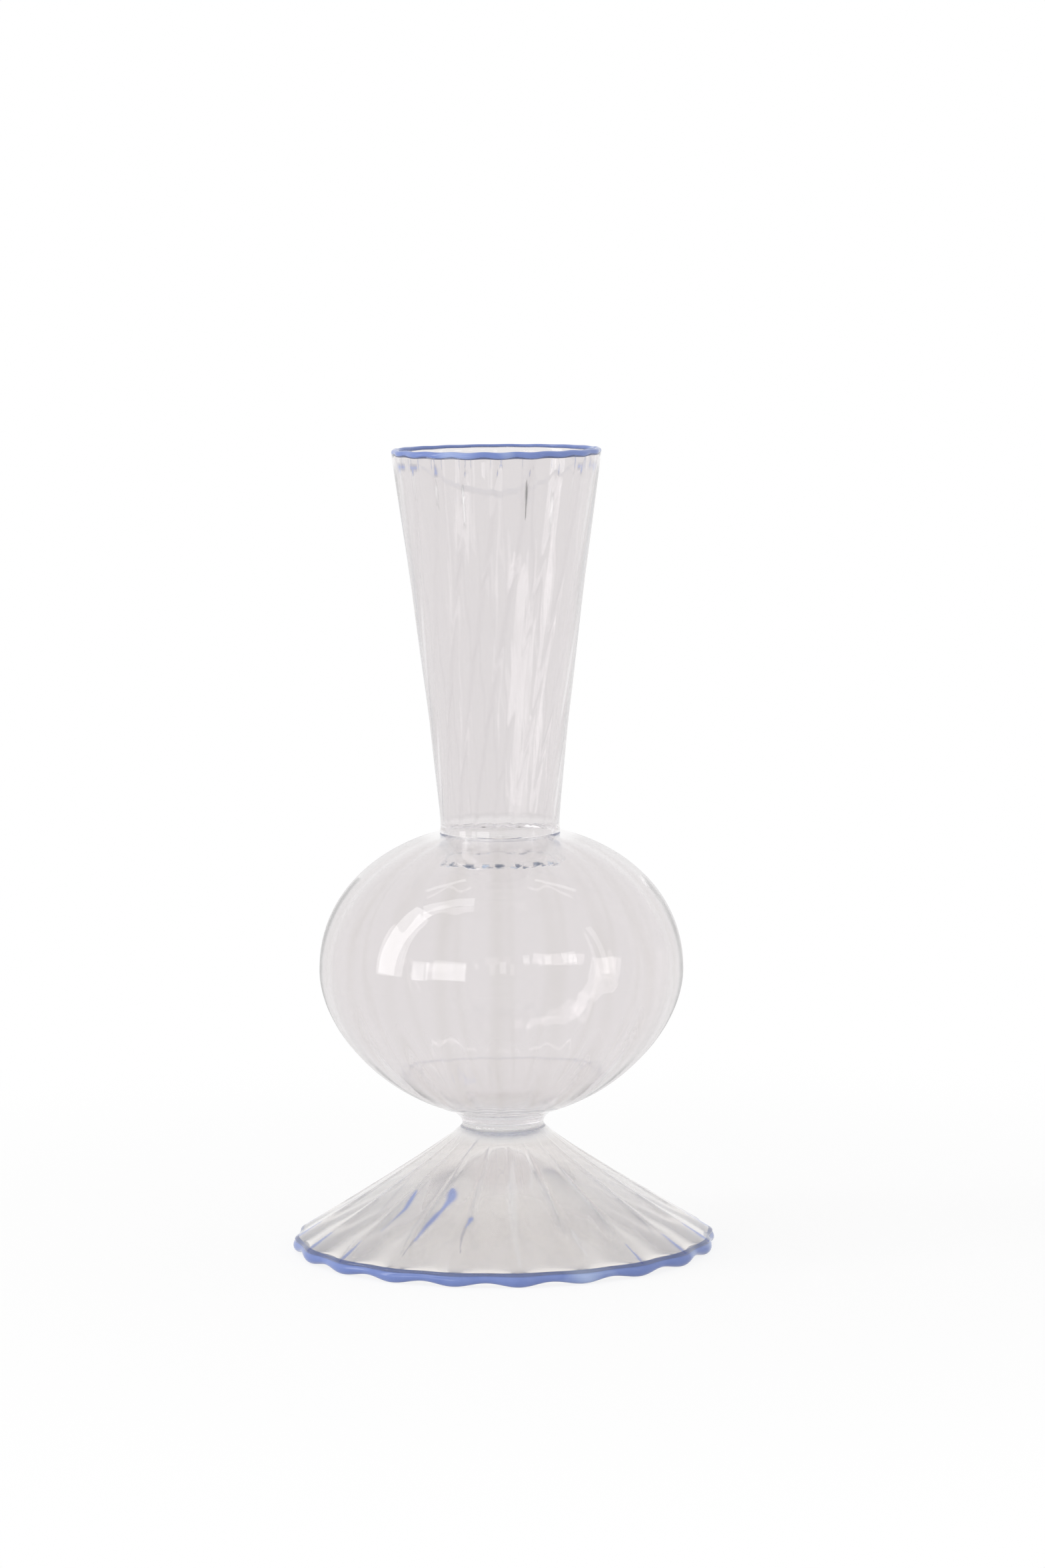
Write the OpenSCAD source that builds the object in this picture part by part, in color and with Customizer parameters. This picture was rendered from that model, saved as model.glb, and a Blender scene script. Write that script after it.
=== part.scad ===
// Ribbed glass vase: a flared neck on a globe on a spreading foot, all clear
// glass with the same count of ribs, and a blue glass thread on the lip and on
// the foot's scalloped edge. Millimetres, +Z up, origin on the table at the axis.

/* [Ribs] */
// Number of ribs round every clear piece
rib_count = 20; // [8:2:32]
// Points on one rib in each ring of the mesh
rib_points = 5; // [4:1:6]
// Angle of the first rib from the +X axis, in degrees
rib_start = 2; // [0:1:17]

/* [Foot] */
// Diameter of the foot's edge, through the middle of its thread
foot_d = 128.6; // [100:0.2:150]
// Height of the foot, from the table to the collar
foot_h = 38.4; // [30:0.1:50]
// Thickness of the glass at the foot's edge
foot_edge_t = 2.4; // [1.6:0.1:2.6]
// Height of the hollow under the foot, at its middle
foot_hollow_h = 26.5; // [8:0.5:28]
// How far the ribs stand out at the foot's edge
foot_rib_h = 1.2; // [0.4:0.1:2.5]
// How far the edge drops at each rib
scallop_drop = 1.2; // [0:0.1:1.6]

/* [Foot edge wrap] */
// Diameter of the blue thread on the foot's edge
foot_thread_d = 3.8; // [3.6:0.1:5]

/* [Collar] */
// Diameter of the collar's waist
collar_d = 25.4; // [16:0.2:32]
// Height of the collar, from the foot to the globe
collar_h = 5.2; // [3:0.1:9]
// Height of the waist above the foot
waist_h = 1.4; // [0.6:0.1:2.4]
// How far the collar flares out from its waist down to the foot
foot_flare = 1.6; // [0.2:0.1:3]
// How far the collar flares out from its waist up to the globe
globe_flare = 3.2; // [0.4:0.1:5]

/* [Globe] */
// Diameter of the globe, over its ribs
globe_d = 114.4; // [90:0.2:140]
// Height from the collar up to the globe's widest ring
globe_lower_h = 44.2; // [34:0.1:60]
// Height from the globe's widest ring up to the neck
globe_upper_h = 43.2; // [34:0.1:56]
// How full the globe is below its widest ring: 2 is an ellipse
globe_lower_round = 1.84; // [1.7:0.01:2.6]
// How full the globe is above its widest ring: 2 is an ellipse
globe_upper_round = 2.12; // [1.8:0.01:2.8]
// Wall of the globe at its widest ring
globe_wall = 1.6; // [1:0.1:3]
// Glass on the floor of the globe, above the collar
globe_floor_t = 5; // [2:0.1:10]
// Wall of the globe where the neck stands on it
shoulder_t = 1.8; // [1.2:0.1:3]
// How far the ribs stand out on the globe
globe_rib_h = 0.6; // [0.1:0.1:1]

/* [Neck] */
// Outer diameter of the neck where it meets the globe
neck_base_d = 36.6; // [30:0.2:48]
// Diameter of the mouth, over the neck's ribs
mouth_d = 64.8; // [50:0.2:80]
// Length of the neck, from the globe to the lip thread
neck_l = 116.7; // [80:0.5:150]
// How late the neck flares: 1 is a straight cone
neck_flare_round = 1.17; // [1:0.01:2]
// Wall of the neck
neck_wall = 1.8; // [1.2:0.1:2.6]
// How far the ribs stand out on the neck
neck_rib_h = 0.5; // [0.1:0.1:1]
// Angle through which the ribs turn along the neck
neck_twist = 46; // [0:1:90]

/* [Neck seal] */
// Diameter of the seal ring, through the middle of its thick lower edge
seal_d = 38.8; // [37:0.2:42]
// How far the seal ring reaches down inside the globe
seal_drop = 8.2; // [6:0.1:11]
// Thickness of the seal ring at its lower edge
seal_t = 2.6; // [1.8:0.1:3.4]

/* [Lip wrap] */
// Diameter of the blue thread on the lip
lip_thread_d = 2.4; // [1.8:0.1:4]
// How much higher the lip thread stands on a rib than between ribs
lip_wave_h = 0.3; // [0:0.1:0.6]

/* [Hidden] */

// Colours of the clear glass and of the blue glass
clear_glass = [0.86, 0.88, 0.88, 0.45];
blue_glass = [0.36, 0.46, 0.82];

// Steps of each skin between its rings, and sides of a thread
foot_steps = 7;
hollow_steps = 6;
bulb_steps = 10;
bowl_steps = 7;
bore_steps = 8;
neck_steps = 16;
collar_steps = 8;
thread_sides = 8;

// Points in one ring of a skin
ring_points = rib_count * rib_points;

// Heights of the joints between the pieces
globe_base_z = foot_h + collar_h;
globe_mid_z = globe_base_z + globe_lower_h;
shoulder_z = globe_mid_z + globe_upper_h;
rim_z = shoulder_z + neck_l;

// The part of a thread's radius that lies outside what it is wound on
seat_share = 0.68;
// The part of the scallops' drop that is flat where the foot rests on the table
worn_share = 0.15;

// The foot's edge: an upright band that the thread is wound on
foot_edge_r = foot_d / 2 - seat_share * foot_thread_d / 2;
foot_edge_z = foot_thread_d / 2 + scallop_drop * (1 - worn_share);
// How quickly the ribs and the scallops die away from the foot's edge to its top
foot_rib_fade = 1.2;
scallop_fade = 3;
// How the foot's outline and its hollow bend: 1 is a straight cone
foot_round = 1.15;
hollow_round = 1.2;

// The collar's radii where it meets the foot and the globe
foot_top_r = collar_d / 2 + foot_flare;
globe_base_r = collar_d / 2 + globe_flare;

// The neck's radii at the globe, and the globe's top opening, whose edge lies
// under the middle of the neck's wall
neck_base_r = neck_base_d / 2;
neck_bore_r = neck_base_r - neck_wall;
opening_r = neck_bore_r + neck_wall / 2;
// The seal is round and the opening has flat sides, which the seal touches
seal_top_r = opening_r * cos(180 / ring_points);

// Sharpness of the ribs: 1 is an even wave, more is a narrow ridge
foot_rib_sharpness = 1;
body_rib_sharpness = 3;
// The stretch at each end of the globe and the neck over which the ribs fade
rib_fade_share = 0.08;
// How early the neck's ribs turn: 1 is an even twist
twist_round = 1.4;

// Radius of the corners of a thread's section, whose flat sides lie at radius r
function corner_r(r) = r / cos(180 / thread_sides);

// Height of a rib's cross section, from 1 on its crest to 0 between two crests
function rib_wave(angle, sharpness) =
    pow((1 + cos(rib_count * angle)) / 2, sharpness);

// A ring of points on the axis at height z, with radius r on the rib crests.
// The gaps between the ribs lie further in by rib, and the crests lower by drop.
function ring(r, z, rib = 0, drop = 0, sharpness = 1, turn = 0) = [
    for (i = [0 : ring_points - 1])
        let (angle = 360 * i / ring_points)
        let (wave = rib_wave(angle, sharpness))
        let (radius = r - rib * (1 - wave))
        let (place = angle + rib_start + turn)
        [radius * cos(place), radius * sin(place), z - drop * wave]
];

// Triangles between the ring that starts at point a and the ring at point b
function band(a, b) = [
    for (i = [0 : ring_points - 1])
        let (j = (i + 1) % ring_points)
        each [[a + i, b + i, b + j], [a + i, b + j, a + j]]
];

// Fades from 0 at either end of a stretch to 1 away from the ends
function end_fade(share) =
    min(1, min(share, 1 - share) / rib_fade_share);

// Points of a bulb's half, from its widest ring at share 0 to where it is cut at
// share 1: [radius, height above the widest ring]
function bulb_point(share, r, h, cut_r, round) =
    let (last = acos(pow(cut_r / r, round / 2)))
    let (angle = share * last)
    [r * pow(cos(angle), 2 / round), h * pow(sin(angle) / sin(last), 2 / round)];

// A closed skin over rings that run round a section, the last joined to the first
module hoop(rings) {
    count = len(rings);
    points = [for (one = rings) each one];
    faces = [
        for (k = [0 : count - 1])
            each band(k * ring_points, ((k + 1) % count) * ring_points)
    ];
    polyhedron(points = points, faces = faces, convexity = 4);
}

// A closed skin over rings between a point on the axis at height z_first, where
// it starts, and one at height z_last, where it ends
module dome(z_first, rings, z_last) {
    count = len(rings);
    first = count * ring_points;
    last = first + 1;
    points = [for (one = rings) each one, [0, 0, z_first], [0, 0, z_last]];
    start_fan = [for (i = [0 : ring_points - 1]) [first, i, (i + 1) % ring_points]];
    end_ring = (count - 1) * ring_points;
    end_fan = [
        for (i = [0 : ring_points - 1])
            [end_ring + i, last, end_ring + (i + 1) % ring_points]
    ];
    skin = [
        for (k = [0 : count - 2])
            each band(k * ring_points, (k + 1) * ring_points)
    ];
    polyhedron(points = points, faces = concat(start_fan, skin, end_fan), convexity = 6);
}

// The foot: a ribbed cone with a scalloped edge, hollowed from below
module foot() {
    top_z = foot_edge_z + foot_edge_t / 2;
    low_z = foot_edge_z - foot_edge_t / 2;
    hollow = [
        for (k = [1 : hollow_steps])
            let (out = k / hollow_steps)
            let (z = low_z + (foot_hollow_h - low_z) * (1 - pow(out, hollow_round)))
            let (fade = pow(out, scallop_fade))
            ring(foot_edge_r * out, z, foot_rib_h * fade, scallop_drop * fade)
    ];
    outside = [
        for (k = [0 : foot_steps])
            let (up = k / foot_steps)
            let (r = foot_edge_r - (foot_edge_r - foot_top_r) * pow(up, foot_round))
            let (rib = foot_rib_h * pow(1 - up, foot_rib_fade))
            let (drop = scallop_drop * pow(1 - up, scallop_fade))
            ring(r, top_z + (foot_h - top_z) * up, rib, drop, foot_rib_sharpness)
    ];
    color(clear_glass) dome(foot_hollow_h, concat(hollow, outside), foot_h);
}

// The blue thread wound on the foot's edge, worn flat where it rests on the table
module foot_edge_wrap() {
    thread_r = foot_thread_d / 2;
    middle_r = foot_edge_r + seat_share * thread_r;
    rings = [
        for (k = [0 : thread_sides - 1])
            let (angle = 360 * (k + 1 / 2) / thread_sides)
            let (r = max(foot_edge_r, middle_r + corner_r(thread_r) * cos(angle)))
            let (z = foot_edge_z + corner_r(thread_r) * sin(angle))
            ring(r, z, foot_rib_h, scallop_drop)
    ];
    color(blue_glass) difference() {
        hoop(rings);
        translate([0, 0, -foot_thread_d]) cylinder(r = foot_d, h = foot_thread_d);
    }
}

// The clear collar between the foot and the globe, flared at both ends
module stem_collar() {
    lower = [
        for (k = [0 : collar_steps])
            let (share = k / collar_steps)
            [collar_d / 2 + foot_flare * pow(1 - share, 2), waist_h * share]
    ];
    upper = [
        for (k = [1 : collar_steps])
            let (share = k / collar_steps)
            [collar_d / 2 + globe_flare * pow(share, 2), waist_h + (collar_h - waist_h) * share]
    ];
    outline = concat([[0, 0]], lower, upper, [[0, collar_h]]);
    color(clear_glass) translate([0, 0, foot_h]) rotate_extrude($fn = ring_points) polygon(outline);
}

// The blown globe: open at the top, closed and thick at the bottom
module globe() {
    r = globe_d / 2;
    inner_r = r - globe_wall;
    below = [
        for (k = [bulb_steps : -1 : 0])
            let (share = k / bulb_steps)
            let (p = bulb_point(share, r, globe_lower_h, globe_base_r, globe_lower_round))
            let (rib = globe_rib_h * end_fade(1 / 2 + share / 2))
            ring(p[0], globe_mid_z - p[1], rib, 0, body_rib_sharpness)
    ];
    above = [
        for (k = [1 : bulb_steps])
            let (share = k / bulb_steps)
            let (p = bulb_point(share, r, globe_upper_h, neck_base_r, globe_upper_round))
            let (rib = globe_rib_h * end_fade(1 / 2 + share / 2))
            ring(p[0], globe_mid_z + p[1], rib, 0, body_rib_sharpness)
    ];
    ceiling_h = globe_upper_h - shoulder_t;
    ceiling = [
        for (k = [bowl_steps : -1 : 0])
            let (share = k / bowl_steps)
            let (p = bulb_point(share, inner_r, ceiling_h, opening_r, globe_upper_round))
            ring(p[0], globe_mid_z + p[1])
    ];
    bowl_h = globe_lower_h - globe_floor_t;
    bowl = [
        for (k = [1 : bowl_steps - 1])
            let (p = bulb_point(k / bowl_steps, inner_r, bowl_h, 0, globe_lower_round))
            ring(p[0], globe_mid_z - p[1])
    ];
    rings = concat(below, above, [ring(opening_r, shoulder_z)], ceiling, bowl);
    color(clear_glass) dome(globe_base_z, rings, globe_base_z + globe_floor_t);
}

// The ring of glass that seals the neck into the globe and hangs inside it
module neck_seal() {
    edge_r = seal_t / 2;
    edge_z = shoulder_z - seal_drop + edge_r;
    edge = [
        for (k = [0 : collar_steps])
            let (angle = 180 + 180 * k / collar_steps)
            [seal_d / 2 + edge_r * cos(angle), edge_z + edge_r * sin(angle)]
    ];
    top = [[seal_top_r, shoulder_z - shoulder_t], [seal_top_r, shoulder_z], [neck_bore_r, shoulder_z]];
    color(clear_glass) rotate_extrude($fn = ring_points) polygon(concat(edge, top));
}

// The flared neck, open at both ends, with ribs that turn on the way down
module neck() {
    mouth_r = mouth_d / 2;
    outside = [
        for (k = [0 : neck_steps])
            let (up = k / neck_steps)
            let (r = neck_base_r + (mouth_r - neck_base_r) * pow(up, neck_flare_round))
            let (rib = neck_rib_h * min(1, up / rib_fade_share))
            let (turn = -neck_twist * pow(1 - up, twist_round))
            ring(r, shoulder_z + neck_l * up, rib, 0, body_rib_sharpness, turn)
    ];
    bore = [
        for (k = [bore_steps : -1 : 0])
            let (up = k / bore_steps)
            let (r = neck_base_r + (mouth_r - neck_base_r) * pow(up, neck_flare_round))
            let (turn = -neck_twist * pow(1 - up, twist_round))
            ring(r - neck_wall, shoulder_z + neck_l * up, 0, 0, 1, turn)
    ];
    color(clear_glass) hoop(concat(outside, bore));
}

// The thin blue thread on the rim, which waves a little with the ribs
module lip_wrap() {
    thread_r = lip_thread_d / 2;
    middle_r = mouth_d / 2 - neck_wall / 2;
    middle_z = rim_z + seat_share * thread_r;
    rings = [
        for (k = [0 : thread_sides - 1])
            let (angle = 360 * (k + 1 / 2) / thread_sides)
            let (r = middle_r + corner_r(thread_r) * cos(angle))
            let (z = middle_z + corner_r(thread_r) * sin(angle))
            [for (p = ring(r, z, neck_rib_h, -lip_wave_h)) [p.x, p.y, max(rim_z, p.z)]]
    ];
    color(blue_glass) hoop(rings);
}

foot();
foot_edge_wrap();
stem_collar();
globe();
neck_seal();
neck();
lip_wrap();
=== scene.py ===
"""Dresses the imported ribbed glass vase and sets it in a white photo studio.

The vase is hot-worked glass: a foot wound with a blue thread, a collar, a globe,
the seal where the neck joins it, the neck with ribs that turn, and a blue thread
on the lip. Every piece starts as smooth rings round the axis, and one Geometry
Nodes tree raises the ribs on it. Lengths are millimetres in the classes and
metres in the meshes.
"""

import logging
import math
from dataclasses import dataclass, field
from enum import Enum

import bmesh
import bpy
import numpy as np
from mathutils import Matrix, Vector


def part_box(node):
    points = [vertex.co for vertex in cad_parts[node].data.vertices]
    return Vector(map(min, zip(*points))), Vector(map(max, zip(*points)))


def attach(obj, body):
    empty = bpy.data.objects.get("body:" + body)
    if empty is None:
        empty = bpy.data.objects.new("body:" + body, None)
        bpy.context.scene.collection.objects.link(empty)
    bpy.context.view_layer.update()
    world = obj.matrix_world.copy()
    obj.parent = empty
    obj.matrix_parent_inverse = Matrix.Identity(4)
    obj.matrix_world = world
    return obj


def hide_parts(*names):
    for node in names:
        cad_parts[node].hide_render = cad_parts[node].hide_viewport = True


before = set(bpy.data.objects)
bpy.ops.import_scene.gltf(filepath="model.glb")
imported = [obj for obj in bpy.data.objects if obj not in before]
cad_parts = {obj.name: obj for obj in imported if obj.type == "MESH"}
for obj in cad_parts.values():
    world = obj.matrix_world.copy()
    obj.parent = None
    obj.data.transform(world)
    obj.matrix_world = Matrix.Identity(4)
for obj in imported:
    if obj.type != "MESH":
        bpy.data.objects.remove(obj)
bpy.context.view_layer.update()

LOG = logging.getLogger("vase")
MM = 0.001
BODY = "root"

Inputs = dict[str | int, object]
Colour = tuple[float, float, float]
Point = tuple[float, float, float]
Route = tuple[tuple[float, float], ...]

# What the marks do to the light that crosses the glass. All of them are painted light: the blues
# are painted reflections of the blue threads, the white and the pale blue are painted highlights,
# and the dark ones are painted shade.
THREAD_REFLECTION = (0.20, 0.29, 0.78)
LIP_REFLECTION = (0.30, 0.37, 0.72)
GLINT = (1.0, 1.0, 1.0)
SHADE = (0.08, 0.09, 0.08)
DASH_SHADE = (0.1, 0.15, 0.25)
HIGHLIGHT_BLUE = (0.55, 0.7, 0.9)
SHADE_LINE = (0.36, 0.36, 0.46)

# Points round every ring of glass: the pieces share them, so fused edges meet
AROUND = 640
# Ribs round the foot, the globe and the neck
RIB_COUNT = 20
# How closely the ribs' tint keeps to their crests
CREST_SHARPNESS = 3.0
# The least radius in metres that the ribs divide by, for the points on the axis
LEAST_R = 1e-6
# How often light may turn in the glass before it is given up
LIGHT_TURNS = 160


class Slot(Enum):
    """The record's material slots."""

    CLEAR = "clear_glass"
    BLUE = "blue_glass"


class Sketch:
    """Adds nodes to a node tree and joins them."""

    def __init__(self, tree: bpy.types.NodeTree) -> None:
        """Keeps the tree that gets the nodes."""
        self.tree = tree

    def add(self, kind: str, inputs: Inputs | None = None, **settings: object) -> bpy.types.Node:
        """Adds one node.

        Args:
            kind: The node's type name.
            inputs: What its inputs get, by their names or numbers.
            **settings: Properties to set on it.

        Returns:
            The new node.
        """
        node = self.tree.nodes.new(kind)
        for name, value in settings.items():
            setattr(node, name, value)
        self.fill(node, inputs or {})
        return node

    def fill(self, node: bpy.types.Node, inputs: Inputs) -> None:
        """Links a node's inputs to other nodes, or sets their values.

        Args:
            node: The node.
            inputs: An output, a number, a vector or a colour for each input.
        """
        for name, value in inputs.items():
            socket = node.inputs[name]
            if isinstance(value, bpy.types.NodeSocket):
                self.tree.links.new(value, socket)
            elif socket.type == "RGBA":
                socket.default_value = (*value, 1)
            else:
                socket.default_value = value

    def math(self, operation: str, *values: object) -> bpy.types.NodeSocket:
        """Returns the result of a Math node on outputs or numbers."""
        return self.add("ShaderNodeMath", dict(enumerate(values)), operation=operation).outputs[0]

    def mix(self, share: object, under: object, over: object) -> bpy.types.NodeSocket:
        """Returns one colour with a share of another over it."""
        inputs = {"Factor": share, "A": under, "B": over}
        return self.add("ShaderNodeMix", inputs, data_type="RGBA").outputs["Result"]

    def mix_shaders(self, share: object, under: object, over: object) -> bpy.types.NodeSocket:
        """Returns one shader with a share of another over it."""
        return self.add("ShaderNodeMixShader", {0: share, 1: under, 2: over}).outputs[0]

    def ramp(self, value: object, start: float, end: float, low: float = 0.0, high: float = 1.0,
             smooth: bool = False) -> bpy.types.NodeSocket:
        """Maps a stretch of a value onto another and holds it beyond the ends.

        Args:
            value: The value.
            start: Where the stretch begins.
            end: Where it ends.
            low: The result at its beginning.
            high: The result at its end.
            smooth: True to ease the way between them.

        Returns:
            The result.
        """
        inputs = {"Value": value, "From Min": start, "From Max": end, "To Min": low, "To Max": high}
        kind = "SMOOTHSTEP" if smooth else "LINEAR"
        return self.add("ShaderNodeMapRange", inputs, interpolation_type=kind).outputs["Result"]

    def noise(self, place: object, scale: float, detail: float) -> bpy.types.NodeSocket:
        """Returns a noise over places, as numbers about 0.5."""
        inputs = {"Vector": place, "Scale": scale, "Detail": detail}
        return self.add("ShaderNodeTexNoise", inputs).outputs["Fac"]

    def place(self) -> bpy.types.NodeSocket:
        """Returns the place on the object, in a material."""
        return self.add("ShaderNodeTexCoord").outputs["Object"]

    def bump(self, height: object, depth: float) -> bpy.types.NodeSocket:
        """Returns the surface's direction with a pattern pressed into it."""
        return self.add("ShaderNodeBump", {"Distance": depth, "Height": height}).outputs["Normal"]

    def stored(self, name: str, output: str = "Fac") -> bpy.types.NodeSocket:
        """Returns what the mesh stores under a name, in a material."""
        return self.add("ShaderNodeAttribute", attribute_name=name).outputs[output]

    def named(self, name: str) -> bpy.types.NodeSocket:
        """Returns the number that the mesh stores under a name, in a Geometry Nodes tree."""
        node = self.add("GeometryNodeInputNamedAttribute", {"Name": name}, data_type="FLOAT")
        return node.outputs["Attribute"]


def start_material(name: str) -> tuple[bpy.types.Material, Sketch, bpy.types.Node]:
    """Starts a material.

    Args:
        name: The material's name.

    Returns:
        The material, a sketch on its tree and its shader.
    """
    material = bpy.data.materials.new(name)
    material.use_nodes = True
    tree = material.node_tree
    return material, Sketch(tree), tree.nodes["Principled BSDF"]


@dataclass(frozen=True)
class ClearGlass:
    """Fire-polished clear glass, tinted on its ribs, in its marks and towards its edges.

    The mesh says where: crest on the ribs, stain in the marks, which hold tints and
    painted highlights, shade and reflections, limb where the edge darkens and blurs,
    and haze where the glass is dull. Cords are the faint dull streaks of drawn glass,
    and ripples its uneven surface.
    """

    face: Colour = (0.85, 0.83, 0.834)
    rib: Colour = (0.785, 0.762, 0.77)
    edge: Colour = (0.7, 0.68, 0.682)
    edge_from: float = 0.58
    edge_to: float = 0.7
    ior: float = 1.47
    blur_from: float = 0.35
    blur_to: float = 0.75
    edge_blur: float = 0.22
    haze_roughness: float = 0.55
    stretch: float = 0.18
    cord_scale: float = 18.0
    cord_detail: float = 3.0
    cord_from: float = 0.55
    cord_to: float = 0.9
    cord_roughness: float = 0.03
    ripple_scale: float = 55.0
    ripple_detail: float = 2.0
    ripple_depth: float = 0.00004

    def colour(self, sketch: Sketch, facing: bpy.types.NodeSocket) -> bpy.types.NodeSocket:
        """Mixes the tint.

        Args:
            sketch: The material's sketch.
            facing: How steeply the glass is seen, from 0 to 1 at its edges.

        Returns:
            The colour.
        """
        ribbed = sketch.mix(sketch.stored("crest"), self.face, self.rib)
        # The marks lay tints and painted highlights, shade and reflections over the glass
        with_painted_light = sketch.mix(sketch.stored("tint_and_painted_light", "Alpha"), ribbed, sketch.stored("tint_and_painted_light", "Color"))
        steep = sketch.ramp(facing, self.edge_from, self.edge_to, smooth=True)
        return sketch.mix(sketch.math("MULTIPLY", steep, sketch.stored("limb")), with_painted_light, self.edge)

    def roughness(self, sketch: Sketch, facing: bpy.types.NodeSocket,
                  place: bpy.types.NodeSocket) -> bpy.types.NodeSocket:
        """Adds up the cords, the haze and the blur of the edges.

        The blur is only on the outside: inside the wall it would darken the light
        that runs along in it.

        Args:
            sketch: The material's sketch.
            facing: How steeply the glass is seen, from 0 to 1 at its edges.
            place: The stretched place on the piece.

        Returns:
            The roughness.
        """
        cords = sketch.noise(place, self.cord_scale, self.cord_detail)
        dull = sketch.ramp(cords, self.cord_from, self.cord_to, high=self.cord_roughness)
        dull = sketch.math("MULTIPLY_ADD", sketch.stored("haze"), self.haze_roughness, dull)
        blur = sketch.ramp(facing, self.blur_from, self.blur_to, high=self.edge_blur, smooth=True)
        inside = sketch.add("ShaderNodeNewGeometry").outputs["Backfacing"]
        outside = sketch.math("MULTIPLY", sketch.stored("limb"), sketch.math("SUBTRACT", 1.0, inside))
        return sketch.math("MULTIPLY_ADD", blur, outside, dull)

    def material(self, name: str = "clear_glass") -> bpy.types.Material:
        """Makes the material.

        Args:
            name: The material's name.

        Returns:
            The new material.
        """
        material, sketch, shader = start_material(name)
        facing = sketch.add("ShaderNodeLayerWeight").outputs["Facing"]
        mapping = sketch.add("ShaderNodeMapping", {"Vector": sketch.place(), "Scale": (1, 1, self.stretch)})
        place = mapping.outputs["Vector"]
        ripple = sketch.noise(place, self.ripple_scale, self.ripple_detail)
        sketch.fill(shader, {
            "IOR": self.ior,
            "Transmission Weight": 1.0,
            "Base Color": self.colour(sketch, facing),
            "Roughness": self.roughness(sketch, facing, place),
            "Normal": sketch.bump(ripple, self.ripple_depth),
        })
        return material


@dataclass(frozen=True)
class BlueGlass:
    """Glossy opaque blue glass thread, streaked where it was drawn out, with pale patches of painted
    highlight.
    """

    deep: Colour = (0.125, 0.185, 0.46)
    pale: Colour = (0.22, 0.29, 0.58)
    # The pale blue of the patches of painted highlight, laid by a noise
    highlight_colour: Colour = (0.5, 0.6, 0.82)
    ior: float = 1.5
    roughness: float = 0.1
    streak_roughness: float = 0.12
    streak_scale: float = 160.0
    streak_detail: float = 3.0
    streak_depth: float = 0.00006
    highlight_scale: float = 42.0
    highlight_detail: float = 2.0
    highlight_from: float = 0.58
    highlight_to: float = 0.74
    highlight_share: float = 0.8

    def material(self, name: str = "blue_glass") -> bpy.types.Material:
        """Makes the material.

        Args:
            name: The material's name.

        Returns:
            The new material.
        """
        material, sketch, shader = start_material(name)
        place = sketch.place()
        streak = sketch.noise(place, self.streak_scale, self.streak_detail)
        # Pale patches of painted highlight
        highlight_noise = sketch.noise(place, self.highlight_scale, self.highlight_detail)
        highlight_mask = sketch.ramp(highlight_noise, self.highlight_from, self.highlight_to, high=self.highlight_share)
        sketch.fill(shader, {
            "IOR": self.ior,
            "Base Color": sketch.mix(highlight_mask, sketch.mix(streak, self.deep, self.pale), self.highlight_colour),
            "Roughness": sketch.math("MULTIPLY_ADD", streak, self.streak_roughness, self.roughness),
            "Normal": sketch.bump(streak, self.streak_depth),
        })
        return material


@dataclass(frozen=True)
class FusedJoint:
    """The hidden faces where two pieces of hot glass melted into one."""

    def material(self, name: str = "fused_joint") -> bpy.types.Material:
        """Makes the material, which light crosses unbent.

        Args:
            name: The material's name.

        Returns:
            The new material.
        """
        material, sketch, shader = start_material(name)
        sketch.tree.nodes.remove(shader)
        clear = sketch.add("ShaderNodeBsdfTransparent").outputs[0]
        sketch.fill(sketch.tree.nodes["Material Output"], {"Surface": clear})
        return material


@dataclass(frozen=True)
class Finishes:
    """The materials that the pieces share."""

    clear: bpy.types.Material
    bulb: bpy.types.Material
    thick: bpy.types.Material
    seal: bpy.types.Material
    blue: bpy.types.Material
    joint: bpy.types.Material

    @staticmethod
    def make() -> "Finishes":
        """Makes the materials.

        Returns:
            The finishes.
        """
        bulb = ClearGlass(face=(0.86, 0.839, 0.843), rib=(0.785, 0.763, 0.75), edge=(0.74, 0.72, 0.722),
                          edge_from=0.75, edge_to=0.84)
        thick = ClearGlass(face=(0.877, 0.848, 0.83), rib=(0.66, 0.66, 0.7), edge=(0.78, 0.755, 0.75))
        seal = ClearGlass(face=(0.97, 0.97, 0.97), edge=(0.95, 0.95, 0.95))
        return Finishes(
            clear=ClearGlass().material(),
            bulb=bulb.material("globe_glass"),
            thick=thick.material("thick_glass"),
            seal=seal.material("seal_glass"),
            blue=BlueGlass().material(),
            joint=FusedJoint().material(),
        )


@dataclass(frozen=True)
class Ring:
    """One ring of points round the axis, in millimetres and degrees.

    The gaps between the ribs lie further in by rib, and the crests lower by drop.
    Sharpness narrows the ribs, turn moves them round, and stripe tints their crests.
    Faces between two fused rings are a joint.
    """

    r: float
    z: float
    rib: float = 0.0
    drop: float = 0.0
    turn: float = 0.0
    sharpness: float = 1.0
    haze: float = 0.0
    stripe: float = 0.0
    limb: float = 0.0
    fused: bool = False


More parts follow.
